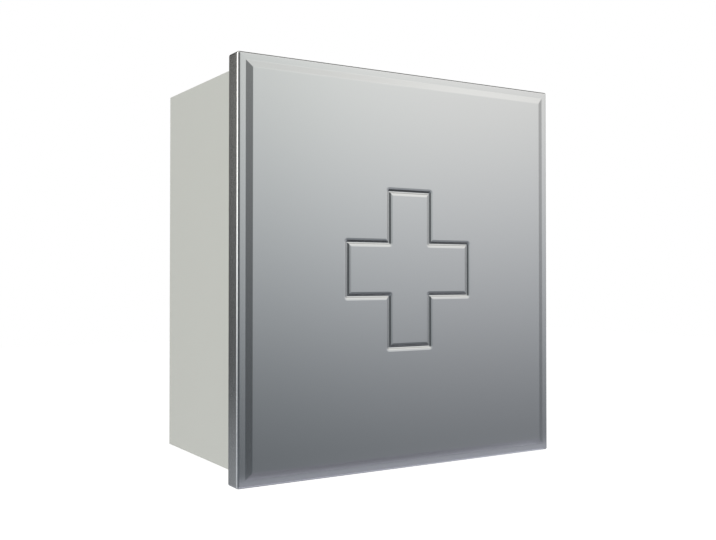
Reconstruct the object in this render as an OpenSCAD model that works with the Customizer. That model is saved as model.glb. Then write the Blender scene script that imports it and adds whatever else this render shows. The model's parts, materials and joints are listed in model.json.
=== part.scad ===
// Wall-hung medicine cabinet: a box of coated boards behind one overhanging foil-wrapped door
// with a routed cross. Millimetres, +Z up, +X to the right, the front faces -Y.
// The origin is the middle of the back face, which lies against the wall.

/* [Body] */
// Width of the box, without the door's overhang
body_w = 360; // [300:1:600]
// Height of the box
body_h = 380; // [330:1:700]
// Depth of the box, from the wall to its front edge
body_d = 176; // [130:1:300]
// Thickness of the coated boards
board_t = 16; // [15:0.5:19]
// Thickness of the plastic strip on the front edges
band_t = 0.5; // [0.3:0.1:1]

/* [Back] */
// Thickness of the fibreboard back
back_t = 3; // [2.5:0.5:5]
// Width of the rebate that takes the back
rebate_w = 8; // [6:0.5:9]
// Play of the back in its rebate, on each side
back_play = 0.4; // [0.2:0.1:0.8]
// Radius of the back's nails
nail_r = 0.7; // [0.6:0.05:1]
// Length of the back's nails
nail_len = 15; // [12:1:20]
// Radius of a nail's head
nail_head_r = 1.6; // [1.4:0.1:2]
// Thickness of a nail's head
nail_head_t = 0.5; // [0.4:0.1:0.8]
// Distance of the end nails from the back's corners
nail_end = 30; // [20:1:45]
// Nails along each side of the back
nails_side = 4; // [2:1:6]
// Nails along the top and the bottom of the back
nails_top = 3; // [2:1:5]

/* [Hanging] */
// Height of the hanging rail
rail_h = 60; // [50:1:80]
// Distance between the two wall screws
wall_screw_span = 220; // [160:1:240]
// Radius of the wall screw holes
wall_screw_r = 3; // [2.5:0.5:4]

/* [Joints] */
// Distance of the cam fittings from the front and back edges
cam_y_inset = 37; // [30:1:45]
// Distance of a cam's middle from the end of its board
cam_reach = 34; // [24:1:34]
// Radius of a cam disc
cam_r = 7.4; // [7:0.1:7.6]
// Height of a cam disc
cam_h = 12; // [11.5:0.5:12.5]
// Thickness of the cap over a cam
cam_cap_t = 1; // [0.8:0.1:1.5]
// Radius of a cam bolt's thread
bolt_thread_r = 3; // [2.5:0.25:3.25]
// Depth of a cam bolt's thread in the side board
bolt_thread_len = 11; // [9:0.5:12]
// Radius of a cam bolt's neck
bolt_neck_r = 1.8; // [1.6:0.1:2]
// Radius of a cam bolt's collar
bolt_collar_r = 3.4; // [3.2:0.1:3.5]
// Length of a cam bolt's collar
bolt_collar_len = 6; // [5:0.5:8]
// Radius of a cam bolt's head
bolt_head_r = 2.9; // [2.6:0.1:3]
// Length of a cam bolt's head
bolt_head_len = 2.5; // [2:0.1:3]
// Radius of the bore that a cam bolt passes through
bolt_bore_r = 3.8; // [3.6:0.1:4]
// Radius of the dowels
dowel_r = 4; // [3:0.5:4]
// Length of a dowel
dowel_len = 30; // [25:1:35]
// Depth of a dowel in the side board
dowel_side_depth = 10; // [8:0.5:12]

/* [Shelves] */
// Distance of a shelf's front edge behind the box's front edge
shelf_set_back = 21; // [16:1:60]
// Gap between a shelf and each side board
shelf_play = 1; // [0.5:0.1:2]
// Gap between a shelf and the back
shelf_back_gap = 2; // [1:0.5:6]
// Distance between the rows of shelf pin holes
pin_pitch = 32; // [32:1:40]
// Rows of shelf pin holes
pin_rows = 6; // [4:1:6]
// Row that carries the lower shelf, counted from the bottom
lower_row = 0; // [0:1:1]
// Row that carries the upper shelf, counted from the bottom
upper_row = 4; // [3:1:4]
// Distance of the pin holes from the front and back edges
pin_inset = 37; // [32:1:45]
// Radius of a shelf pin
pin_r = 2.5; // [2:0.25:3]
// Depth of a shelf pin in the board
pin_depth = 8; // [6:0.5:9]
// Depth of the shelf pin holes
pin_hole_depth = 10; // [9.5:0.5:12]
// Length of a pin's rest under the shelf
pin_rest_len = 8; // [6:0.5:10]
// Width of a pin's rest
pin_rest_w = 9; // [7:0.5:12]
// Thickness of a pin's rest
pin_rest_t = 1.6; // [1.2:0.1:2.5]
// Height of a pin's rest above the top of its pin
pin_rest_rise = 0.3; // [0.2:0.1:0.6]

/* [Door] */
// How far the door stands past the box on every side
overhang = 10; // [8:0.5:12]
// Thickness of the door at its border
door_t = 20; // [18:0.5:22]
// Radius of the door's front edges
edge_r = 2.6; // [1:0.1:3]
// Radius of the door's four corners
corner_r = 2.2; // [0.8:0.1:3]
// Thickness of the foil around the door
foil_t = 0.4; // [0.3:0.05:0.6]
// Thickness of the white sheet on the door's back
sheet_t = 0.3; // [0.2:0.1:0.6]
// Width of the flat border around the raised field
border_w = 7.7; // [5:0.1:20]
// Width of the bevel between the border and the field
bevel_w = 6.4; // [3:0.1:15]
// Height of the field above the border
field_rise = 2; // [1:0.1:4]

/* [Cross] */
// Distance from the cross's middle to the groove at the end of an arm, across
cross_reach_x = 74.1; // [50:0.1:90]
// Distance from the cross's middle to the groove at the end of an arm, upwards
cross_reach_z = 78.1; // [50:0.1:90]
// Half the width of the upright arm, between groove middles
cross_arm_x = 24.9; // [15:0.1:35]
// Half the height of the level arm, between groove middles
cross_arm_z = 26.4; // [15:0.1:35]
// Height of the cross's middle above the door's middle
cross_z = 0.6; // [-5:0.1:5]
// Width of the groove at the surface
groove_w = 7.8; // [3:0.1:10]
// Depth of the groove
groove_depth = 1.5; // [0.8:0.1:4]

/* [Hinges] */
// Thickness of a hinge leaf
leaf_t = 0.9; // [0.8:0.1:1.2]
// Gap between the two leaves of the closed hinge
leaf_gap = 0.2; // [0.2:0.1:0.4]
// Length of a hinge
hinge_len = 50; // [40:1:60]
// Distance of the hinges' middles from the box's top and bottom
hinge_inset = 60; // [50:1:80]
// Radius of the hinge knuckles
knuckle_r = 2.5; // [2.3:0.1:2.6]
// Knuckles of a hinge, on both leaves together
knuckles = 5; // [3:2:7]
// Gap between neighbouring knuckles
knuckle_gap = 0.2; // [0.1:0.05:0.4]
// Gap between the knuckles and the boards beside them
knuckle_clear = 0.3; // [0.3:0.05:0.5]
// Radius of the hinge pin
hinge_pin_r = 1.25; // [1:0.05:1.4]
// Running gap between the hinge pin and its knuckles
hinge_pin_play = 0.05; // [0.02:0.01:0.1]
// Radius of the hinge pin's two heads
pin_head_r = 1.9; // [1.7:0.1:2.2]
// Thickness of the hinge pin's heads
pin_head_t = 0.6; // [0.4:0.1:1]
// Width of the leaves, from the box's outer face
leaf_w = 15; // [12:0.5:15.5]
// Distance of the frame leaf's screws from the hinge's middle
frame_screw_z = 17; // [15:0.5:18]
// Distance of the door leaf's screws from the hinge's middle
door_screw_z = 7; // [5:0.5:9]

/* [Screws] */
// Radius of the small screws
screw_r = 1.5; // [1.25:0.05:1.6]
// Length of the small screws
screw_len = 12; // [10:0.5:13]
// Radius of a small screw's head
screw_head_r = 2.7; // [2.5:0.1:3]
// Height of a small screw's countersunk head
screw_head_h = 1.3; // [1.1:0.1:1.6]
// Length of the cross recess in a small screw's head
recess_len = 2.8; // [2.4:0.1:3]
// Width of the recess's slots
recess_w = 0.8; // [0.6:0.05:1]
// Depth of the recess
recess_depth = 1; // [0.7:0.05:1.05]
// Gap around screws, nails, dowels and pins in their holes
hole_play = 0.05; // [0.02:0.01:0.1]

/* [Catch] */
// Height of the catch's middle above the box's middle
catch_z = 0; // [-10:1:10]
// Length of the catch's base
catch_len = 48; // [44:1:50]
// Length of the catch's raised body
catch_body_len = 32; // [30:1:34]
// Depth of the catch, front to back
catch_depth = 14; // [13:0.5:18]
// Thickness of the catch's base
catch_base_t = 2.5; // [2:0.1:3]
// Thickness of the catch's body
catch_body_t = 11; // [10.5:0.5:14]
// Length of the magnet
magnet_len = 26; // [20:1:28]
// Thickness of the magnet
magnet_t = 5; // [4:0.5:6]
// Thickness of the magnet's steel plates
pole_t = 1.2; // [1:0.1:1.5]
// Depth of the pocket that holds the magnet
pocket_depth = 10.5; // [9:0.5:11]
// How far the magnet lies behind its plates' tips
magnet_set_back = 2; // [1.5:0.1:3]
// Distance of the catch's screws from its middle
catch_screw_z = 20; // [19:0.5:20.5]
// Thickness of the strike plate
strike_t = 1; // [0.8:0.1:1.2]
// Length of the strike plate
strike_len = 38; // [34:1:44]
// Width of the strike plate
strike_w = 13; // [12:0.5:16]
// Distance of the strike plate's screws from its middle
strike_screw_z = 12; // [9:0.5:13]
// Radius of the door bumpers
bumper_r = 4; // [3:0.5:5]
// Distance of the bumpers from the box's top and bottom
bumper_inset = 8; // [6:0.5:12]

/* [Hidden] */
$fn = 48;

// Planes and faces that the pieces share
cut = 1;
half_w = body_w / 2;
half_h = body_h / 2;
inner_x = half_w - board_t;
inner_z = half_h - board_t;
front_y = -body_d;
board_front_y = front_y + band_t;
door_gap = 2 * leaf_t + leaf_gap;
door_back_y = front_y - door_gap;
door_w = body_w + 2 * overhang;
door_h = body_h + 2 * overhang;
door_front_y = door_back_y - door_t;
rail_y = -back_t - board_t;
rail_low_z = inner_z - rail_h;
rail_mid_z = inner_z - rail_h / 2;
panel_mid_z = half_h - board_t / 2;

// Places of the fittings
cam_ys = [front_y + cam_y_inset, -cam_y_inset];
cam_x = inner_x - cam_reach;
cam_top_z = half_h - cam_cap_t;
cam_low_z = cam_top_z - cam_h;
cam_play = 0.1;
dowel_y = front_y / 2;
rail_dowel_r = 3;
rail_dowel_z = rail_h / 4;
nail_y = -nail_head_t;
nail_line = rebate_w / 2;
nail_x = inner_x + nail_line;
nail_z = inner_z + nail_line;
pin_ys = [front_y + pin_inset, -back_t - pin_inset];
pin_first_z = -pin_pitch * (pin_rows - 1) / 2;
pin_rest_top = pin_r + pin_rest_rise;
function row_z(row) = pin_first_z + row * pin_pitch;
function shelf_z(row) = row_z(row) + pin_rest_top;
shelf_x = inner_x - shelf_play;
shelf_back_y = -back_t - shelf_back_gap;
shelf_front_y = front_y + shelf_set_back;
shelf_d = shelf_back_y - shelf_front_y;

// Hinge axis, beside the box and behind the door's overhang
axis_x = half_w + knuckle_r + knuckle_clear;
axis_y = door_back_y + knuckle_r + knuckle_clear;
hinge_z = half_h - hinge_inset;
leaf_x = half_w - leaf_w;
leaf_screw_x = half_w - board_t / 2;
leaf_back_cut = 0.5;
knuckle_len = hinge_len / knuckles;

catch_front_y = board_front_y;
catch_x = -inner_x + catch_body_t / 2;
stack_t = magnet_t + 2 * pole_t;
strike_y = door_back_y + strike_t;

body_white = [0.80, 0.81, 0.79];
foil_silver = [0.66, 0.70, 0.73];
fibre_brown = [0.62, 0.50, 0.36];
board_buff = [0.78, 0.69, 0.54];
steel_grey = [0.66, 0.67, 0.69];
zinc_grey = [0.55, 0.56, 0.58];

// A cylinder along X, Y or Z from a point, with its length counted along that axis
module rod_x(r, len) { rotate([0, 90, 0]) cylinder(r = r, h = len); }
module rod_y(r, len) { rotate([-90, 0, 0]) cylinder(r = r, h = len); }

// Countersunk screw with its head's face at the origin, running along +Z.
// Only the screw itself has the cross recess, and not its grown copy that cuts the hole.
module screw(grow = 0) {
  difference() {
    union() {
      cylinder(r1 = screw_head_r + grow, r2 = screw_r + grow, h = screw_head_h);
      translate([0, 0, screw_head_h]) cylinder(r = screw_r + grow, h = screw_len - screw_head_h + grow);
    }
    if (grow == 0) for (turn = [0, 90]) rotate([0, 0, turn])
      translate([-recess_len / 2, -recess_w / 2, -cut]) cube([recess_len, recess_w, recess_depth + cut]);
  }
}

// Places a child in both the left and the right half, or in the top and the bottom half
module left_and_right() { children(); mirror([1, 0, 0]) children(); }
module top_and_bottom() { children(); mirror([0, 0, 1]) children(); }
module four_corners() { left_and_right() top_and_bottom() children(); }

// Fasteners of the box. Where a shape has a grow value, it widens the shape, to cut its hole.
module cam_bolt_shapes() {
  four_corners() for (y = cam_ys) translate([0, y, panel_mid_z]) {
    translate([inner_x, 0, 0]) rod_x(bolt_thread_r, bolt_thread_len);
    translate([inner_x - bolt_collar_len, 0, 0]) rod_x(bolt_collar_r, bolt_collar_len);
    translate([cam_x, 0, 0]) rod_x(bolt_neck_r, cam_reach - bolt_collar_len);
    translate([cam_x - bolt_head_len / 2, 0, 0]) rod_x(bolt_head_r, bolt_head_len);
  }
}

module thread_holes() {
  four_corners() for (y = cam_ys) translate([inner_x - cut, y, panel_mid_z])
    rod_x(bolt_thread_r + hole_play, bolt_thread_len + cut + hole_play);
}

module bolt_bores() {
  four_corners() for (y = cam_ys) translate([cam_x, y, panel_mid_z])
    rod_x(bolt_bore_r, cam_reach + cut);
}

module cam_bores() {
  four_corners() for (y = cam_ys) translate([cam_x, y, cam_low_z])
    cylinder(r = cam_r + cam_play, h = cam_h + cam_cap_t + cut);
}

module corner_dowel_shapes(grow = 0) {
  four_corners() translate([inner_x + dowel_side_depth - dowel_len - grow, dowel_y, panel_mid_z])
    rod_x(dowel_r + grow, dowel_len + 2 * grow);
}

module rail_dowel_shapes(grow = 0) {
  for (side = [-1, 1]) translate([0, rail_y + board_t / 2, rail_mid_z + side * rail_dowel_z])
    left_and_right() translate([inner_x + dowel_side_depth - dowel_len - grow, 0, 0])
      rod_x(rail_dowel_r + grow, dowel_len + 2 * grow);
}

// One nail with its head's face at the origin, running towards -Y
module nail(grow = 0) {
  rotate([90, 0, 0]) {
    cylinder(r = nail_head_r + grow, h = nail_head_t);
    cylinder(r = nail_r + grow, h = nail_len + grow);
  }
}

function spread(n, span, i) = -span / 2 + i * span / (n - 1);

module nail_shapes(grow = 0) {
  side_span = 2 * nail_z - 2 * nail_end;
  top_span = 2 * nail_x - 2 * nail_end;
  left_and_right() for (i = [0 : nails_side - 1])
    translate([nail_x, 0, spread(nails_side, side_span, i)]) nail(grow);
  top_and_bottom() for (i = [0 : nails_top - 1])
    translate([spread(nails_top, top_span, i), 0, nail_z]) nail(grow);
}

module pin_holes() {
  left_and_right() for (y = pin_ys, row = [0 : pin_rows - 1])
    translate([inner_x - cut, y, row_z(row)]) rod_x(pin_r + hole_play, pin_hole_depth + cut);
}

module back_space() {
  translate([-inner_x - rebate_w, -back_t, -inner_z - rebate_w])
    cube([2 * (inner_x + rebate_w), back_t + cut, 2 * (inner_z + rebate_w)]);
}

module frame_screws(grow = 0) {
  for (side = [-1, 1], place = [-1, 1])
    translate([leaf_screw_x, front_y - leaf_t, side * hinge_z + place * frame_screw_z])
      rotate([-90, 0, 0]) screw(grow);
}

module door_screws(grow = 0) {
  for (side = [-1, 1], place = [-1, 1])
    translate([leaf_screw_x, door_back_y + leaf_t, side * hinge_z + place * door_screw_z])
      rotate([90, 0, 0]) screw(grow);
}

module catch_screw_shapes(grow = 0) {
  for (place = [-1, 1])
    translate([-inner_x + catch_base_t, catch_front_y + catch_depth / 2, catch_z + place * catch_screw_z])
      rotate([0, -90, 0]) screw(grow);
}

module strike_screw_shapes(grow = 0) {
  for (place = [-1, 1])
    translate([catch_x, strike_y, catch_z + place * strike_screw_z])
      rotate([90, 0, 0]) screw(grow);
}

// The right-hand side board, standing the full height of the box
module side_board() {
  difference() {
    translate([inner_x, board_front_y, -half_h]) cube([board_t, -board_front_y, body_h]);
    back_space();
    thread_holes();
    corner_dowel_shapes(hole_play);
    rail_dowel_shapes(hole_play);
    nail_shapes(hole_play);
    pin_holes();
  }
}

module left_side_panel() {
  color(body_white) difference() {
    mirror([1, 0, 0]) side_board();
    catch_screw_shapes(hole_play);
  }
}

module right_side_panel() {
  color(body_white) difference() {
    side_board();
    frame_screws(hole_play);
  }
}

// The upper board of the box, between the side boards
module level_board() {
  difference() {
    translate([-inner_x, board_front_y, inner_z]) cube([2 * inner_x, -board_front_y, board_t]);
    back_space();
    bolt_bores();
    cam_bores();
    corner_dowel_shapes(hole_play);
    nail_shapes(hole_play);
  }
}

module top_panel() { color(body_white) level_board(); }
module bottom_panel() { color(body_white) mirror([0, 0, 1]) level_board(); }

module back_panel() {
  back_x = inner_x + rebate_w - back_play;
  back_z = inner_z + rebate_w - back_play;
  color(body_white) difference() {
    translate([-back_x, -back_t, -back_z]) cube([2 * back_x, back_t, 2 * back_z]);
    nail_shapes(hole_play);
    wall_screw_holes();
  }
}

module wall_screw_holes() {
  for (side = [-1, 1]) translate([side * wall_screw_span / 2, rail_y - cut, rail_mid_z])
    rod_y(wall_screw_r, board_t + back_t + 2 * cut);
}

module hanging_rail() {
  color(body_white) difference() {
    translate([-inner_x, rail_y, rail_low_z]) cube([2 * inner_x, board_t, rail_h]);
    rail_dowel_shapes(hole_play);
    wall_screw_holes();
  }
}

module body_edge_bands() {
  color(body_white) difference() {
    union() {
      left_and_right() translate([inner_x, front_y, -half_h]) cube([board_t, band_t, body_h]);
      top_and_bottom() translate([-inner_x, front_y, inner_z]) cube([2 * inner_x, band_t, board_t]);
    }
    frame_screws(hole_play);
  }
}

module cam_bolts() { color(steel_grey) cam_bolt_shapes(); }

// A cam disc drops over the head of its bolt, through the slot in its lower face
module cam_discs() {
  neck_slot = 2 * (bolt_neck_r + hole_play + cam_play);
  head_slot = 2 * (bolt_head_r + hole_play + cam_play);
  slot_h = panel_mid_z - cam_low_z + bolt_head_r + cam_play;
  driver_w = 1.4;
  driver_len = 7;
  driver_depth = 2;
  color(zinc_grey) four_corners() for (y = cam_ys) translate([cam_x, y, cam_low_z]) difference() {
    cylinder(r = cam_r, h = cam_h);
    translate([0, -neck_slot / 2, -cut]) cube([cam_r + cut, neck_slot, slot_h + cut]);
    translate([-head_slot / 2, -head_slot / 2, -cut]) cube([head_slot, head_slot, slot_h + cut]);
    for (turn = [0, 90]) rotate([0, 0, turn])
      translate([-driver_len / 2, -driver_w / 2, cam_h - driver_depth])
        cube([driver_len, driver_w, driver_depth + cut]);
  }
}

module cam_caps() {
  color(body_white) four_corners() for (y = cam_ys) translate([cam_x, y, cam_top_z])
    cylinder(r = cam_r, h = cam_cap_t);
}

module corner_dowels() { color(board_buff) corner_dowel_shapes(); }
module rail_dowels() { color(board_buff) rail_dowel_shapes(); }
module back_nails() { color(steel_grey) nail_shapes(); }

// The four pins of one shelf, each with a flat rest that reaches under the shelf
module shelf_pins(row) {
  color(steel_grey) left_and_right() for (y = pin_ys) translate([inner_x, y, row_z(row)]) {
    translate([-pin_rest_len, 0, 0]) rod_x(pin_r, pin_rest_len + pin_depth);
    translate([-pin_rest_len, -pin_rest_w / 2, pin_rest_top - pin_rest_t])
      cube([pin_rest_len, pin_rest_w, pin_rest_t]);
  }
}

module upper_shelf_pins() { shelf_pins(upper_row); }
module lower_shelf_pins() { shelf_pins(lower_row); }

module shelf_board(row) {
  color(body_white) translate([-shelf_x, shelf_front_y + band_t, shelf_z(row)])
    cube([2 * shelf_x, shelf_d - band_t, board_t]);
}

module shelf_band(row) {
  color(body_white) translate([-shelf_x, shelf_front_y, shelf_z(row)])
    cube([2 * shelf_x, band_t, board_t]);
}

module upper_shelf() { shelf_board(upper_row); }
module upper_shelf_band() { shelf_band(upper_row); }
module lower_shelf() { shelf_board(lower_row); }
module lower_shelf_band() { shelf_band(lower_row); }

// Every second knuckle of a hinge belongs to the frame leaf, the others to the door leaf
module knuckle_row(first) {
  for (i = [first : 2 : knuckles - 1])
    translate([axis_x, axis_y, -hinge_len / 2 + i * knuckle_len + knuckle_gap / 2])
      cylinder(r = knuckle_r, h = knuckle_len - knuckle_gap);
}

// The space that the other leaf's knuckles turn in
module knuckle_space(first) {
  low_z = -hinge_len / 2 - knuckle_gap / 2;
  for (i = [first : 2 : knuckles - 1])
    translate([half_w - leaf_back_cut, axis_y - knuckle_r - cut, low_z + i * knuckle_len])
      cube([2 * knuckle_r + leaf_back_cut + cut, 2 * (knuckle_r + cut), knuckle_len + knuckle_gap]);
}

// A leaf's plate reaches into its own knuckles, between their outside and the pin
module leaf(plate_y, first, reach) {
  difference() {
    union() {
      translate([leaf_x, plate_y, -hinge_len / 2]) cube([reach - leaf_x, leaf_t, hinge_len]);
      knuckle_row(first);
    }
    knuckle_space(1 - first);
    translate([axis_x, axis_y, -hinge_len / 2 - cut])
      cylinder(r = hinge_pin_r + hinge_pin_play, h = hinge_len + 2 * cut);
  }
}

module frame_leaf(z) {
  color(steel_grey) difference() {
    translate([0, 0, z]) leaf(front_y - leaf_t, 0, half_w + knuckle_clear + knuckle_r / 2);
    frame_screws(hole_play);
  }
}

module door_leaf(z) {
  color(steel_grey) difference() {
    translate([0, 0, z]) leaf(door_back_y, 1, axis_x);
    door_screws(hole_play);
  }
}

module hinge_pin(z) {
  color(steel_grey) translate([axis_x, axis_y, z]) {
    cylinder(r = hinge_pin_r, h = hinge_len, center = true);
    top_and_bottom() translate([0, 0, hinge_len / 2 - knuckle_gap / 2])
      cylinder(r = pin_head_r, h = pin_head_t);
  }
}

module upper_frame_leaf() { frame_leaf(hinge_z); }
module lower_frame_leaf() { frame_leaf(-hinge_z); }
module upper_door_leaf() { door_leaf(hinge_z); }
module lower_door_leaf() { door_leaf(-hinge_z); }
module upper_hinge_pin() { hinge_pin(hinge_z); }
module lower_hinge_pin() { hinge_pin(-hinge_z); }
module frame_leaf_screws() { color(steel_grey) frame_screws(); }
module door_leaf_screws() { color(steel_grey) door_screws(); }

// The catch: a moulded housing on the left board that holds a magnet between two steel plates
module magnet_pocket() {
  translate([catch_x - stack_t / 2 - hole_play, catch_front_y - cut, catch_z - magnet_len / 2 - hole_play])
    cube([stack_t + 2 * hole_play, pocket_depth + cut, magnet_len + 2 * hole_play]);
}

module catch_housing() {
  color(body_white) difference() {
    union() {
      translate([-inner_x, catch_front_y, catch_z - catch_len / 2])
        cube([catch_base_t, catch_depth, catch_len]);
      translate([-inner_x, catch_front_y, catch_z - catch_body_len / 2])
        cube([catch_body_t, catch_depth, catch_body_len]);
    }
    magnet_pocket();
    catch_screw_shapes(hole_play);
  }
}

module catch_pole_plates() {
  tip_y = strike_y;
  color(steel_grey) for (side = [-1, 1])
    translate([catch_x + side * (magnet_t + pole_t) / 2 - pole_t / 2, tip_y, catch_z - magnet_len / 2])
      cube([pole_t, catch_front_y + pocket_depth - tip_y, magnet_len]);
}

module catch_magnet() {
  magnet_y = strike_y + magnet_set_back;
  color([0.2, 0.2, 0.21]) translate([catch_x - magnet_t / 2, magnet_y, catch_z - magnet_len / 2])
    cube([magnet_t, catch_front_y + pocket_depth - magnet_y, magnet_len]);
}

module catch_screws() { color(steel_grey) catch_screw_shapes(); }

module strike_plate() {
  color(steel_grey) difference() {
    translate([catch_x - strike_w / 2, door_back_y, catch_z - strike_len / 2])
      cube([strike_w, strike_t, strike_len]);
    strike_screw_shapes(hole_play);
  }
}

module strike_screws() { color(steel_grey) strike_screw_shapes(); }

module door_bumpers() {
  color([0.86, 0.87, 0.86]) top_and_bottom()
    translate([-half_w + board_t / 2, door_back_y, half_h - bumper_inset]) rod_y(bumper_r, door_gap);
}

// A block with round front edges: its plan is extruded upwards
module round_front_plan(w, depth, r) {
  translate([-w / 2, r]) square([w, depth - r]);
  translate([-w / 2 + r, 0]) square([w - 2 * r, r + cut]);
  for (side = [-1, 1]) translate([side * (w / 2 - r), r]) circle(r = r);
}

// A bar whose sides run in by run over the height rise, from half width half at height 0.
// It starts below, at height low, and ends above, at height high.
module slope_plan(half, run, rise, low, high) {
  low_half = half - run * low / rise;
  high_half = half - run * high / rise;
  polygon([[-low_half, low], [low_half, low], [high_half, high], [-high_half, high]]);
}

// A rectangle with sloping sides that rises towards the front. base_y is where height is 0.
module sloped_block(half_x, half_z, run, rise, low, high, base_y) {
  translate([0, base_y, 0]) intersection() {
    linear_extrude(4 * half_z, center = true) mirror([0, 1]) slope_plan(half_x, run, rise, low, high);
    rotate([0, 90, 0]) linear_extrude(4 * half_x, center = true)
      mirror([0, 1]) slope_plan(half_z, run, rise, low, high);
  }
}

// The two arms of a cross, both with sides that slope by run over rise
module sloped_cross(grow, run, rise, low, high, base_y) {
  sloped_block(cross_arm_x + grow, cross_reach_z + grow, run, rise, low, high, base_y);
  sloped_block(cross_reach_x + grow, cross_arm_z + grow, run, rise, low, high, base_y);
}

// The V groove along the outline of the cross, cut into a field at base_y
module cross_groove(base_y) {
  half = groove_w / 2;
  difference() {
    sloped_cross(half, -half, groove_depth, -groove_depth, cut, base_y);
    sloped_cross(-half, half, groove_depth, -groove_depth, cut, base_y);
  }
}

// The door's outer form, drawn in by inset on the front and the edges
module door_form(inset = 0, back_y = door_back_y) {
  w = door_w - 2 * inset;
  h = door_h - 2 * inset;
  border_y = door_front_y + inset;
  depth = back_y - border_y;
  field_x = door_w / 2 - border_w - bevel_w;
  field_z = door_h / 2 - border_w - bevel_w;
  difference() {
    union() {
      translate([0, border_y, 0]) intersection() {
        linear_extrude(h, center = true) round_front_plan(w, depth, edge_r - inset);
        rotate([0, 90, 0]) linear_extrude(w, center = true) round_front_plan(h, depth, edge_r - inset);
      }
      sloped_block(field_x, field_z, bevel_w, field_rise, -field_rise - cut, 0, border_y - field_rise);
    }
    translate([0, 0, cross_z]) cross_groove(border_y - field_rise);
    corner_cuts(w / 2, h / 2, corner_r - inset);
  }
}

// What the four rounded corners take away from a square-cornered door
module corner_cuts(half_x, half_z, r) {
  four_corners() translate([half_x, 0, half_z]) rotate([90, 0, 0]) linear_extrude(2 * body_d + 4 * door_t)
    translate([-r, -r]) difference() {
      square(r + cut);
      circle(r = r);
    }
}

module door_foil() {
  color(foil_silver) difference() {
    door_form();
    door_form(foil_t, door_back_y + cut);
  }
}

module door_core() {
  color(fibre_brown) difference() {
    door_form(foil_t, door_back_y - sheet_t);
    door_screws(hole_play);
    strike_screw_shapes(hole_play);
  }
}

module door_back_sheet() {
  w = door_w - 2 * foil_t;
  h = door_h - 2 * foil_t;
  color(body_white) difference() {
    translate([-w / 2, door_back_y - sheet_t, -h / 2]) cube([w, sheet_t, h]);
    corner_cuts(w / 2, h / 2, corner_r - foil_t);
    door_screws(hole_play);
    strike_screw_shapes(hole_play);
  }
}

left_side_panel();
right_side_panel();
top_panel();
bottom_panel();
back_panel();
hanging_rail();
body_edge_bands();
cam_bolts();
cam_discs();
cam_caps();
corner_dowels();
rail_dowels();
back_nails();
upper_shelf_pins();
lower_shelf_pins();
upper_frame_leaf();
lower_frame_leaf();
upper_hinge_pin();
lower_hinge_pin();
frame_leaf_screws();
catch_housing();
catch_magnet();
catch_pole_plates();
catch_screws();
door_foil();
door_core();
door_back_sheet();
upper_door_leaf();
lower_door_leaf();
door_leaf_screws();
strike_plate();
strike_screws();
door_bumpers();
upper_shelf();
upper_shelf_band();
lower_shelf();
lower_shelf_band();
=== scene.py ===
"""Looks of the wall-hung medicine cabinet: foil-wrapped door, coated boards, fittings and studio."""
import json
import math

import bmesh
import bpy
from mathutils import Matrix, Vector


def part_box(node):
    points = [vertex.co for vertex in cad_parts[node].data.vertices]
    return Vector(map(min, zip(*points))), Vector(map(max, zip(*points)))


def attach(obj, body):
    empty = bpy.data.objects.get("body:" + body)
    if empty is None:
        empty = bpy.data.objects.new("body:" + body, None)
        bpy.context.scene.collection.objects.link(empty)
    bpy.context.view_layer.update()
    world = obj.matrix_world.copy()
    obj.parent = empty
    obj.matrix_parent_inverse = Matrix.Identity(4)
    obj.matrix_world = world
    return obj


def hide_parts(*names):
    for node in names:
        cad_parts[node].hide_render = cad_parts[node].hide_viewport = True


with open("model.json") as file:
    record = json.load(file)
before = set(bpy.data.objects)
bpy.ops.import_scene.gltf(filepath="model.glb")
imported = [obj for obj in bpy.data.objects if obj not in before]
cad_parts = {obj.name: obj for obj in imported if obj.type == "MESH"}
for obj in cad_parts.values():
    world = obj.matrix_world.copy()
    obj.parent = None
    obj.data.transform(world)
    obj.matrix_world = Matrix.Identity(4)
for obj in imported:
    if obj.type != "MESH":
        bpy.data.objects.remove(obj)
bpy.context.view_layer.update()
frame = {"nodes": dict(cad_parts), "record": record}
door_low, door_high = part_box("door_foil")
MM = 0.001


# Camera, at the photograph's place. The shift is a share of the picture's width. CAMERA_RIGHT,
# CAMERA_UP and CAMERA_FORWARD are the directions of the camera's own axes.
LENS_MM = 46.159
SENSOR_MM = 36
LENS_SHIFT = (0.0315, -0.0118)
CAMERA_PLACE = (-0.5427, -0.95851, -0.00517)
CAMERA_RIGHT = (0.85759927, -0.51431831, 0.00040258)
CAMERA_UP = (-0.00792616, -0.01243379, 0.99989128)
CAMERA_FORWARD = (0.51425739, 0.85750922, 0.01473977)


def make_camera():
    data = bpy.data.cameras.new("camera")
    data.lens = LENS_MM
    data.sensor_width = SENSOR_MM
    data.shift_x, data.shift_y = LENS_SHIFT
    camera = bpy.data.objects.new("camera", data)
    bpy.context.scene.collection.objects.link(camera)
    columns = (Vector(CAMERA_RIGHT), Vector(CAMERA_UP), -Vector(CAMERA_FORWARD))
    turn = Matrix(columns).transposed().to_4x4()
    camera.matrix_world = Matrix.Translation(CAMERA_PLACE) @ turn
    bpy.context.scene.camera = camera


# Helpers
def new_object(name, mesh):
    """Turns a bmesh into an object of the scene."""
    data = bpy.data.meshes.new(name)
    mesh.to_mesh(data)
    mesh.free()
    thing = bpy.data.objects.new(name, data)
    bpy.context.scene.collection.objects.link(thing)
    return thing


def new_plane(name, half_size):
    """A flat square object in X and Y, from -half_size to half_size."""
    mesh = bmesh.new()
    bmesh.ops.create_grid(mesh, x_segments=1, y_segments=1, size=half_size)
    return new_object(name, mesh)


def new_material(name):
    material = bpy.data.materials.new(name)
    material.use_nodes = True
    tree = material.node_tree
    return material, tree, tree.nodes["Principled BSDF"]


def add(tree, kind, **values):
    """A node with its sockets set by name, such as Scale=40."""
    node = tree.nodes.new(kind)
    for key, value in values.items():
        if key in node.inputs:
            node.inputs[key].default_value = value
        else:
            setattr(node, key, value)
    return node


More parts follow.
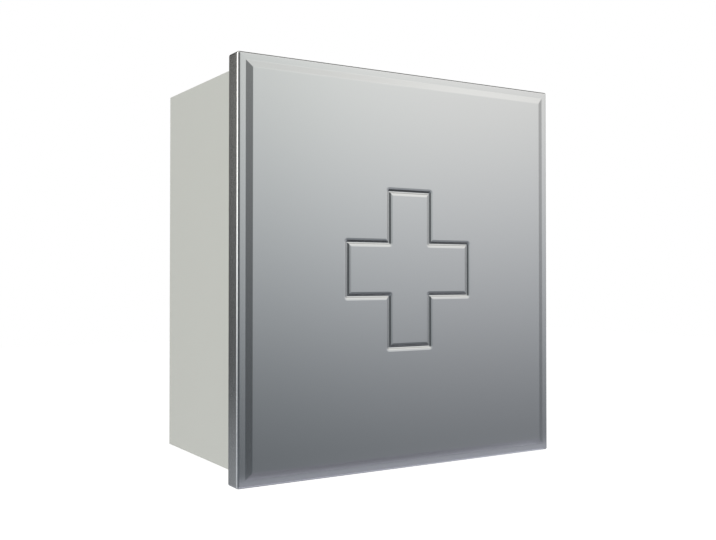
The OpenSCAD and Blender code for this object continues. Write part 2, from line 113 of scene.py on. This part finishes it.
def calculate(tree, operation, first, second=None):
    """One step of arithmetic on a socket or number, or on two. Returns its result's socket."""
    node = add(tree, "ShaderNodeMath", operation=operation)
    for socket, value in zip(node.inputs, (first, second)):
        if value is None:
            continue
        if isinstance(value, (int, float)):
            socket.default_value = value
        else:
            tree.links.new(value, socket)
    return node.outputs["Value"]


def noise(tree, scale, stretch):
    """Noise in the part's own metres. stretch scales it along X, Y and Z."""
    place = add(tree, "ShaderNodeTexCoord")
    mapping = add(tree, "ShaderNodeMapping", Scale=stretch)
    texture = add(tree, "ShaderNodeTexNoise", Scale=scale, Detail=NOISE_DETAIL)
    tree.links.new(place.outputs["Object"], mapping.inputs["Vector"])
    tree.links.new(mapping.outputs["Vector"], texture.inputs["Vector"])
    return texture.outputs["Fac"]


def remap(tree, value, low, high):
    """Stretches noise, which mostly stays within NOISE_REACH, to the range from low to high."""
    node = add(tree, "ShaderNodeMapRange")
    node.inputs["From Min"].default_value, node.inputs["From Max"].default_value = NOISE_REACH
    node.inputs["To Min"].default_value = low
    node.inputs["To Max"].default_value = high
    tree.links.new(value, node.inputs["Value"])
    return node.outputs["Result"]


def vary_color(tree, value, dark, light, socket):
    """Feeds a socket with a colour that goes from dark to light as a value goes from 0 to 1."""
    mix = add(tree, "ShaderNodeMix", data_type="RGBA")
    mix.inputs["A"].default_value = (*dark, 1)
    mix.inputs["B"].default_value = (*light, 1)
    tree.links.new(value, mix.inputs["Factor"])
    tree.links.new(mix.outputs["Result"], socket)


def bump(tree, shader, value, height_mm):
    """Gives a shader a fine relief that follows a value."""
    node = add(tree, "ShaderNodeBump", Strength=1, Distance=height_mm * MM)
    tree.links.new(value, node.inputs["Height"])
    tree.links.new(node.outputs["Normal"], shader.inputs["Normal"])


def shades(color, spread):
    """A darker and a lighter version of a colour."""
    return [channel * (1 - spread) for channel in color], [channel * (1 + spread) for channel in color]


def surface(name, color, spread, roughness, grain, height_mm, metallic=0.0, stretch=(1, 1, 1)):
    """A finish with its colour, roughness and relief varied by one fine grain. spread is how far the
    colour varies, roughness is a range, grain is the noise's scale, and height_mm is the relief."""
    material, tree, shader = new_material(name)
    shader.inputs["Metallic"].default_value = metallic
    fine = noise(tree, grain, stretch)
    level = remap(tree, fine, 0, 1)
    vary_color(tree, level, *shades(color, spread), shader.inputs["Base Color"])
    rough = remap(tree, fine, *roughness)
    tree.links.new(rough, shader.inputs["Roughness"])
    bump(tree, shader, fine, height_mm)
    return material


# Finishes
NOISE_DETAIL = 3
NOISE_REACH = (0.3, 0.7)
FOIL_COLOR = (0.625, 0.625, 0.617)
BOARD_COLOR = (0.60, 0.61, 0.565)
FINISHES = {
    "door_foil": surface("silver_foil", FOIL_COLOR, 0.02, (0.21, 0.25), 900, 0.002, metallic=1.0),
    "coated_board": surface("coated_board", BOARD_COLOR, 0.012, (0.42, 0.52), 500, 0.01),
    "back_board": surface("back_board", (0.63, 0.63, 0.60), 0.02, (0.5, 0.6), 300, 0.015),
    "edge_band": surface("edge_band", BOARD_COLOR, 0.01, (0.38, 0.46), 700, 0.006),
    "fibreboard": surface("fibreboard", (0.36, 0.25, 0.15), 0.12, (0.7, 0.85), 900, 0.05),
    "back_sheet": surface("back_sheet", (0.72, 0.72, 0.70), 0.01, (0.42, 0.5), 500, 0.01),
    "beech": surface("beech", (0.56, 0.39, 0.22), 0.12, (0.5, 0.65), 260, 0.03, stretch=(0.1, 1, 1)),
    "zinc": surface("zinc", (0.42, 0.43, 0.45), 0.08, (0.4, 0.55), 700, 0.02, metallic=1.0),
    "white_plastic": surface("white_plastic", (0.70, 0.70, 0.67), 0.01, (0.36, 0.44), 600, 0.008),
    "fastener_steel": surface("fastener_steel", (0.56, 0.57, 0.60), 0.05, (0.25, 0.36), 800, 0.006,
                              metallic=1.0),
    "nickel_steel": surface("nickel_steel", (0.60, 0.58, 0.54), 0.04, (0.22, 0.32), 800, 0.005, metallic=1.0),
    "hinge_steel": surface("hinge_steel", (0.58, 0.57, 0.55), 0.05, (0.26, 0.36), 600, 0.006,
                           metallic=1.0, stretch=(1, 1, 0.08)),
    "magnet": surface("magnet", (0.03, 0.03, 0.032), 0.15, (0.55, 0.7), 900, 0.03),
    "bumper": surface("bumper", (0.62, 0.63, 0.62), 0.02, (0.3, 0.4), 500, 0.01),
}


def finish_nodes():
    """Gives each CAD node the finish that its material slot names."""
    slots = {s["node"]: s["material_slot"] for s in frame["record"]["subparts"]}
    for name, node in frame["nodes"].items():
        node.data.materials.clear()
        node.data.materials.append(FINISHES[slots[name]])


# The door's foil, as a fine mesh with the round lips and edges that pressed foil has. A ring is a
# closed line of points on the door's front, and each next ring continues the surface.
# EDGE_REACH is how far the round of the door's edge reaches over the front and down the side.
# CROSS_REACH and CROSS_ARM are half the cross's length and half its arms' width, along X and Z.
# GROOVE_HALF is half the groove's width with its lips, and GROOVE_WALL is half of it between them.
BORDER_W = 7.7 * MM
BEVEL_W = 6.4 * MM
FIELD_RISE = 2.0 * MM
EDGE_REACH = (2.2 * MM, 3.5 * MM)
CORNER_R = 2.2 * MM
LEAST_CORNER_R = 0.05 * MM
BEVEL_LIP_R = 1.5 * MM
FIELD_MARGIN = 6.0 * MM
CROSS_Z = 0.6 * MM
GROOVE_HALF = 4.1 * MM
GROOVE_WALL = 1.9 * MM
GROOVE_DEPTH = 1.9 * MM
LIP_SLOPE = math.radians(8)
GROOVE_RADII = [3.0 * MM, 2.0 * MM, 1.3 * MM, 2.0 * MM, 3.0 * MM]
CROSS_REACH = (74.1 * MM, 78.1 * MM)
CROSS_ARM = (24.9 * MM, 26.4 * MM)
FOIL_T = 0.3 * MM
ARC_STEPS = 6
CORNER_STEPS = 6
CORNER_GUARD = 0.2 * MM
WELD_DISTANCE = 0.002 * MM
PLANE_TOLERANCE = 0.001 * MM


def arc_between(direction_in, direction_out, corner, radius):
    """Points of the round that joins two straight stretches of a profile at a corner point."""
    a, b = Vector(direction_in).normalized(), Vector(direction_out).normalized()
    turn = a.angle(b)
    reach = radius * math.tan(turn / 2)
    start = Vector(corner) - a * reach
    side = (b - a * a.dot(b)).normalized()
    points = []
    for i in range(ARC_STEPS + 1):
        angle = turn * i / ARC_STEPS
        points.append(start + a * radius * math.sin(angle) + side * radius * (1 - math.cos(angle)))
    return points


def rounded_polyline(corners, radii):
    """A profile through corners, with each inner corner rounded by its radius."""
    points = [Vector(corners[0])]
    for i in range(1, len(corners) - 1):
        before = Vector(corners[i]) - Vector(corners[i - 1])
        after = Vector(corners[i + 1]) - Vector(corners[i])
        points += arc_between(before, after, corners[i], radii[i - 1])
    return points + [Vector(corners[-1])]


def rectangle_ring(half_x, half_z, radius, y):
    """A rectangle with round corners, as points in the plane y."""
    points = []
    for quarter, (sign_x, sign_z) in enumerate(((1, 1), (-1, 1), (-1, -1), (1, -1))):
        middle = Vector((sign_x * (half_x - radius), y, sign_z * (half_z - radius)))
        for i in range(CORNER_STEPS + 1):
            angle = math.radians(90 * (quarter + i / CORNER_STEPS))
            points.append(middle + radius * Vector((math.cos(angle), 0, math.sin(angle))))
    return points


def cross_ring(offset, y):
    """The outline of the cross, moved outwards by offset. Corners that turn away from the
    offset are round, as a cutter leaves them, and the others stay sharp. A point close to each
    corner on both sides keeps the long walls flat in shading."""
    (reach_x, reach_z), (arm_x, arm_z) = CROSS_REACH, CROSS_ARM
    outline = [(reach_x, -arm_z), (reach_x, arm_z), (arm_x, arm_z), (arm_x, reach_z), (-arm_x, reach_z),
               (-arm_x, arm_z), (-reach_x, arm_z), (-reach_x, -arm_z), (-arm_x, -arm_z),
               (-arm_x, -reach_z), (arm_x, -reach_z), (arm_x, -arm_z)]
    points = []
    for i, corner in enumerate(outline):
        here = Vector(corner)
        before = (here - Vector(outline[i - 1])).normalized()
        after = (Vector(outline[(i + 1) % len(outline)]) - here).normalized()
        out_before = Vector((before.y, -before.x))
        out_after = Vector((after.y, -after.x))
        turns_out = before.x * after.y - before.y * after.x > 0
        is_round = turns_out == (offset > 0)
        guard = CORNER_GUARD + (0 if is_round else abs(offset))
        points.append(here + offset * out_before - guard * before)
        for k in range(CORNER_STEPS + 1):
            if is_round:
                angle = math.radians(90 * k / CORNER_STEPS)
                points.append(here + offset * (math.cos(angle) * out_before + math.sin(angle) * out_after))
            else:
                points.append(here + offset * (out_before + out_after))
        points.append(here + offset * out_after + guard * after)
    return [Vector((point.x, y, point.y + CROSS_Z)) for point in points]


def loft(mesh, rings):
    """Adds rings to a mesh and joins each to the next."""
    made = [[mesh.verts.new(p) for p in ring] for ring in rings]
    for first, second in zip(made, made[1:]):
        count = len(first)
        for i in range(count):
            j = (i + 1) % count
            mesh.faces.new((first[i], first[j], second[j], second[i]))


def door_profile(back_y, border_y):
    """Half the door's section as (distance in from the edge, y), from its back to the field."""
    field_y = border_y - FIELD_RISE
    corners = [(0, back_y), (0, border_y), (BORDER_W, border_y), (BORDER_W + BEVEL_W, field_y),
               (BORDER_W + BEVEL_W + FIELD_MARGIN, field_y)]
    front_reach, side_reach = EDGE_REACH
    profile = rounded_polyline(corners, [front_reach, BEVEL_LIP_R, BEVEL_LIP_R])
    for point in profile[1:ARC_STEPS + 2]:
        point.y = border_y + (point.y - border_y) * side_reach / front_reach
    return profile


def groove_profile(field_y):
    """The groove's section as (offset from the cross's outline, y), from outside to inside:
    a shallow lip on each side, and steep walls between them."""
    lip_y = field_y + (GROOVE_HALF - GROOVE_WALL) * math.tan(LIP_SLOPE)
    end = GROOVE_HALF + GROOVE_RADII[0]
    corners = [(end, field_y), (GROOVE_HALF, field_y), (GROOVE_WALL, lip_y), (0, field_y + GROOVE_DEPTH),
               (-GROOVE_WALL, lip_y), (-GROOVE_HALF, field_y), (-end, field_y)]
    return rounded_polyline(corners, GROOVE_RADII)[1:-1]


def on_plane(edge, y):
    """Whether both ends of an edge lie in the plane y."""
    return all(abs(v.co.y - y) < PLANE_TOLERANCE for v in edge.verts)


def foil_mesh():
    """The foil's outside: the edge, border and bevel, the groove, and the flat field between them."""
    half_x, half_z = (door_high.x - door_low.x) / 2, (door_high.z - door_low.z) / 2
    field_y, back_y = door_low.y, door_high.y
    mesh = bmesh.new()
    outer = [rectangle_ring(half_x - inset, half_z - inset, max(CORNER_R - inset, LEAST_CORNER_R), y)
             for inset, y in door_profile(back_y, field_y + FIELD_RISE)]
    loft(mesh, outer)
    groove = [cross_ring(offset, y) for offset, y in groove_profile(field_y)]
    loft(mesh, groove)
    bmesh.ops.remove_doubles(mesh, verts=mesh.verts, dist=WELD_DISTANCE)
    field_edges = [e for e in mesh.edges if len(e.link_faces) == 1 and on_plane(e, field_y)]
    bmesh.ops.triangle_fill(mesh, use_beauty=True, edges=field_edges)
    bmesh.ops.recalc_face_normals(mesh, faces=mesh.faces)
    if sum(f.normal.y * f.calc_area() for f in mesh.faces) > 0:
        bmesh.ops.reverse_faces(mesh, faces=mesh.faces)
    return mesh


def make_door_foil():
    """The foil as a thin skin that takes the place of the plainer CAD solid."""
    skin = new_object("door_foil_skin", foil_mesh())
    for face in skin.data.polygons:
        face.use_smooth = True
    skin.data.materials.append(FINISHES["door_foil"])
    thick = skin.modifiers.new("thickness", "SOLIDIFY")
    thick.thickness = FOIL_T
    thick.offset = -1
    weight = skin.modifiers.new("flat_normals", "WEIGHTED_NORMAL")
    weight.mode = "FACE_AREA"
    weight.weight = 100
    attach(skin, "door")
    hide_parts("door_foil")


# Studio. Only reflections see the tent, a sphere whose walls glow by curves in degrees. Azimuth 0 is in
# front of the door and 90 at its right. Elevation 0 is level. A curve is a list of (degrees, level).
TENT_R = 4.0
BRIGHT_WALL = [
    (-90, 0.03), (-60, 0.04), (-45, 0.05), (-30, 0.07), (-20, 0.15), (-11, 0.28), (0, 0.64), (11, 1.0),
    (20, 1.2), (33, 1.33), (36.5, 1.37), (39, 1.26), (42, 0.91), (60, 0.95), (90, 1.5)]
DARK_WALL = [
    (-90, 0.03), (-40, 0.04), (-13, 0.06), (0, 0.08), (12, 0.11), (35, 0.3), (60, 0.5), (90, 1.1)]
# How much of the bright wall, rather than the dark one, each azimuth has
BRIGHT_SHARE = [
    (-180, 0.1), (-150, 0.0), (-140, 0.1), (-42, 0.03), (-27, 0.13), (-10, 0.18), (4, 0.42), (18, 0.8),
    (25, 0.89), (33, 1.05), (44, 1.03), (78, 0.53), (100, 0.76), (125, 0.6), (150, 0.5), (180, 0.1)]
# Glows that are added to the walls, as (curve over azimuth, curve over elevation, strength)
GLOWS = {
    "left strip": (
        [(-180, 0), (-142, 0), (-134, 1), (-104, 1), (-93, 0), (-40, 0), (180, 0)],
        [(-90, 0.1), (-12, 0.3), (0, 0.85), (12, 1.05), (90, 1.1)], 2),
    "low rear": (
        [(-180, 1), (-148, 1), (-120, 0), (0, 0), (140, 0), (180, 1)],
        [(-90, 0.3), (-14, 0.18), (-8, 0.02), (0, 0), (20, 0), (90, 0)], 1),
    "low sides": (
        [(-180, 0.2), (-150, 0.4), (-100, 1), (-40, 1), (-22, 0), (60, 0), (88, 1), (150, 1), (180, 0.2)],
        [(-90, 0), (-65, 0.05), (-42, 0.45), (-26, 0.42), (-17, 0.22), (-12, 0.04), (-8, 0), (90, 0)], 1),
    "low front": (
        [(-180, 0), (-40, 0), (-22, 1), (8, 1), (20, 0), (180, 0)],
        [(-90, 0), (-62, 0.05), (-42, 0.38), (-27, 0.38), (-20, 0.12), (-15, 0), (90, 0)], 1),
    "low right": (
        [(-180, 0), (49, 0), (62, 1), (74, 1), (90, 0), (180, 0)],
        [(-90, 0), (-46, 0), (-34, 0.3), (-20, 0.32), (-13, 0), (90, 0)], 1),
}
# The wall high behind the object is dimmed by the product of these two
DIM_BEHIND = [(-180, 1), (-160, 1), (-120, 0), (72, 0), (90, 1), (180, 1)]
DIM_ABOVE = [(-90, 0), (10, 0), (26, 0.95), (90, 0.95)]
# Tints of the walls, over elevation and over azimuth
HEIGHT_TINTS = [(-12.6, (0.94, 1.0, 1.11, 1)), (14.4, (1.0, 1.0, 0.99, 1))]
SIDE_TINTS = [
    (-110, (1.0, 0.99, 0.955, 1)), (-80, (0.965, 1.0, 1.03, 1)), (22, (0.965, 1.0, 1.0, 1)),
    (38, (1.0, 1.0, 1.0, 1))]


def over_elevation(curve):
    """Turns degrees of elevation into places from 0 to 1."""
    return [((angle + 90) / 180, level) for angle, level in curve]


def over_azimuth(curve):
    """Turns degrees of azimuth into places from 0 to 1."""
    return [((angle + 180) / 360, level) for angle, level in curve]


def level_curve(tree, value, stops):
    """A level that follows a value from 0 to 1, by (place, level) pairs."""
    node = add(tree, "ShaderNodeFloatCurve")
    node.mapping.use_clip = False
    curve = node.mapping.curves[0]
    while len(curve.points) < len(stops):
        curve.points.new(0.5, 0.5)
    for point, (place, level) in zip(curve.points, stops):
        point.location = (place, level)
        point.handle_type = "AUTO_CLAMPED"
    node.mapping.update()
    tree.links.new(value, node.inputs["Value"])
    return node.outputs["Value"]


def tint_curve(tree, value, stops):
    """A colour that follows a value from 0 to 1, by (place, colour) pairs."""
    node = add(tree, "ShaderNodeValToRGB")
    elements = node.color_ramp.elements
    while len(elements) < len(stops):
        elements.new(1)
    for element, (place, color) in zip(elements, stops):
        element.position, element.color = place, color
    tree.links.new(value, node.inputs["Fac"])
    return node.outputs["Color"]


def glow_material(name):
    """An empty material, with the object's own X, Y and Z in it."""
    material = bpy.data.materials.new(name)
    material.use_nodes = True
    tree = material.node_tree
    tree.nodes.clear()
    place = add(tree, "ShaderNodeTexCoord")
    split = add(tree, "ShaderNodeSeparateXYZ")
    tree.links.new(place.outputs["Object"], split.inputs["Vector"])
    return material, tree, split.outputs


def finish_glow(thing, material, shader):
    """Sends a shader's socket to the material's output, and sets the material on the object."""
    tree = material.node_tree
    output = add(tree, "ShaderNodeOutputMaterial")
    tree.links.new(shader, output.inputs["Surface"])
    thing.data.materials.append(material)


def hide_from_all_but_reflections(thing):
    thing.visible_camera = False
    thing.visible_diffuse = False
    thing.visible_shadow = False
    thing.visible_transmission = False


def tent_level(tree, elevation, azimuth):
    """How strongly the tent's wall glows at each place."""
    bright = level_curve(tree, elevation, over_elevation(BRIGHT_WALL))
    dark = level_curve(tree, elevation, over_elevation(DARK_WALL))
    share = level_curve(tree, azimuth, over_azimuth(BRIGHT_SHARE))
    span = calculate(tree, "SUBTRACT", bright, dark)
    level = calculate(tree, "ADD", dark, calculate(tree, "MULTIPLY", span, share))
    for sides, heights, strength in GLOWS.values():
        across = level_curve(tree, azimuth, over_azimuth(sides))
        upward = level_curve(tree, elevation, over_elevation(heights))
        glow = calculate(tree, "MULTIPLY", calculate(tree, "MULTIPLY", across, upward), strength)
        level = calculate(tree, "ADD", level, glow)
    behind = level_curve(tree, azimuth, over_azimuth(DIM_BEHIND))
    above = level_curve(tree, elevation, over_elevation(DIM_ABOVE))
    kept = calculate(tree, "SUBTRACT", 1, calculate(tree, "MULTIPLY", behind, above))
    return calculate(tree, "MULTIPLY", level, kept)


def tent_tint(tree, elevation, azimuth):
    """The wall's tint: a colour over elevation times one over azimuth."""
    both = add(tree, "ShaderNodeMix", data_type="RGBA", blend_type="MULTIPLY")
    both.inputs["Factor"].default_value = 1
    tree.links.new(tint_curve(tree, elevation, over_elevation(HEIGHT_TINTS)), both.inputs["A"])
    tree.links.new(tint_curve(tree, azimuth, over_azimuth(SIDE_TINTS)), both.inputs["B"])
    return both.outputs["Result"]


def make_tent():
    """The studio round the object, which only reflections see: walls with soft gradients."""
    mesh = bmesh.new()
    bmesh.ops.create_uvsphere(mesh, u_segments=64, v_segments=32, radius=TENT_R)
    tent = new_object("studio_tent", mesh)
    hide_from_all_but_reflections(tent)
    material, tree, own_place = glow_material("studio_tent")
    x, y, z = own_place
    height = calculate(tree, "ARCSINE", calculate(tree, "DIVIDE", z, TENT_R))
    elevation = calculate(tree, "ADD", calculate(tree, "DIVIDE", height, math.pi), 0.5)
    side = calculate(tree, "ARCTAN2", x, calculate(tree, "MULTIPLY", y, -1))
    azimuth = calculate(tree, "ADD", calculate(tree, "DIVIDE", side, 2 * math.pi), 0.5)
    emission = add(tree, "ShaderNodeEmission")
    tree.links.new(tent_tint(tree, elevation, azimuth), emission.inputs["Color"])
    tree.links.new(tent_level(tree, elevation, azimuth), emission.inputs["Strength"])
    finish_glow(tent, material, emission.outputs["Emission"])


# Cards near the door's foot, which light its lower bevel, border and edge. A card's place is its middle
# as (x, distance in front of the door, distance below the door's foot). It turns about X, and lies flat
# at 0 degrees. Its levels run from 0 at its lower or front edge to 1 at its upper or back edge.
CARD_TINT = (0.99, 1.0, 1.17, 1)
CARD_HALF = 0.5
CARDS = {
    "front_card": {
        "place": (0.03, 0.05, 0.055), "size": (0.48, 0.1), "turn": 90,
        "levels": [(0, 0.05), (0.2, 0.3), (0.4, 0.8), (0.46, 0.76), (0.5, 0.4), (0.535, 0.03), (0.6, 0.03),
                   (0.68, 0.14), (0.79, 0.2), (0.87, 0.24), (0.95, 0.26), (1, 0.26)]},
    "edge_card": {
        "place": (0, 0.0018, 0.004), "size": (door_high.x - door_low.x, 0.0096), "turn": 0,
        "levels": [(0, 0.5), (1, 0.5)]},
}


def make_card(name, place, size, turn, levels):
    """A small glowing card that only reflections see. It adds its light to what is behind it. It is
    a square of 1 m that is scaled to its size."""
    card = new_plane(name, CARD_HALF)
    x, in_front, below = place
    card.location = (x, door_low.y - in_front, door_low.z - below)
    card.scale = (*size, 1)
    card.rotation_euler.x = math.radians(turn)
    hide_from_all_but_reflections(card)
    material, tree, own_place = glow_material(name)
    height = calculate(tree, "ADD", own_place["Y"], CARD_HALF)
    emission = add(tree, "ShaderNodeEmission", Color=CARD_TINT)
    tree.links.new(level_curve(tree, height, levels), emission.inputs["Strength"])
    clear = add(tree, "ShaderNodeBsdfTransparent")
    both = add(tree, "ShaderNodeAddShader")
    tree.links.new(clear.outputs["BSDF"], both.inputs[0])
    tree.links.new(emission.outputs["Emission"], both.inputs[1])
    finish_glow(card, material, both.outputs["Shader"])


# World, floor and softboxes. AMBIENT is the even light from all round, as a share of white.
AMBIENT = 0.6
WHITE = (1, 1, 1, 1)
FLOOR_Z = -1.0
FLOOR_HALF = 12
FLOOR_COLOR = (0.9, 0.9, 0.9, 1)
FLOOR_GLOW = 0.5
# Name: (place, size, watts)
SOFTBOXES = {
    "left_softbox": ((-2.4, -0.3, 0.3), (1.4, 1.8), 14),
    "overhead_softbox": ((0.3, -0.8, 2.2), (1.8, 1.8), 18),
    "right_softbox": ((2.0, -1.8, 0.8), (1.4, 1.6), 12),
}
SOFTBOX_TARGET = Vector((0, -0.1, 0))


def make_world():
    """White behind the object, and a soft even light from all round on it."""
    world = bpy.data.worlds.new("studio")
    bpy.context.scene.world = world
    world.use_nodes = True
    tree = world.node_tree
    background = tree.nodes["Background"]
    background.inputs["Color"].default_value = WHITE
    path = add(tree, "ShaderNodeLightPath")
    seen = calculate(tree, "MAXIMUM", path.outputs["Is Camera Ray"], path.outputs["Is Glossy Ray"])
    seen = calculate(tree, "MAXIMUM", seen, path.outputs["Is Transmission Ray"])
    strength = calculate(tree, "ADD", calculate(tree, "MULTIPLY", seen, 1 - AMBIENT), AMBIENT)
    tree.links.new(strength, background.inputs["Strength"])


def make_floor():
    """A floor that the camera sees as white, with the object's shadow on it."""
    floor = new_plane("floor", FLOOR_HALF)
    floor.location.z = FLOOR_Z
    floor.visible_glossy = False
    material, tree, shader = new_material("floor")
    shader.inputs["Base Color"].default_value = FLOOR_COLOR
    shader.inputs["Roughness"].default_value = 0.9
    shader.inputs["Specular IOR Level"].default_value = 0.0
    path = add(tree, "ShaderNodeLightPath")
    seen = calculate(tree, "MULTIPLY", path.outputs["Is Camera Ray"], FLOOR_GLOW)
    shader.inputs["Emission Color"].default_value = WHITE
    tree.links.new(seen, shader.inputs["Emission Strength"])
    floor.data.materials.append(material)


def make_softbox(name, place, size, watts):
    """A large soft light that reflections don't see."""
    data = bpy.data.lights.new(name, "AREA")
    data.shape = "RECTANGLE"
    data.size, data.size_y = size
    data.energy = watts
    light = bpy.data.objects.new(name, data)
    light.location = place
    light.rotation_euler = (SOFTBOX_TARGET - Vector(place)).to_track_quat("-Z", "Y").to_euler()
    light.visible_glossy = False
    bpy.context.scene.collection.objects.link(light)


make_camera()
finish_nodes()
make_door_foil()
make_world()
make_tent()
for card_name, card_values in CARDS.items():
    make_card(card_name, **card_values)
make_floor()
for softbox_name, softbox_values in SOFTBOXES.items():
    make_softbox(softbox_name, *softbox_values)

scene = bpy.context.scene
scene.view_settings.view_transform = "Standard"
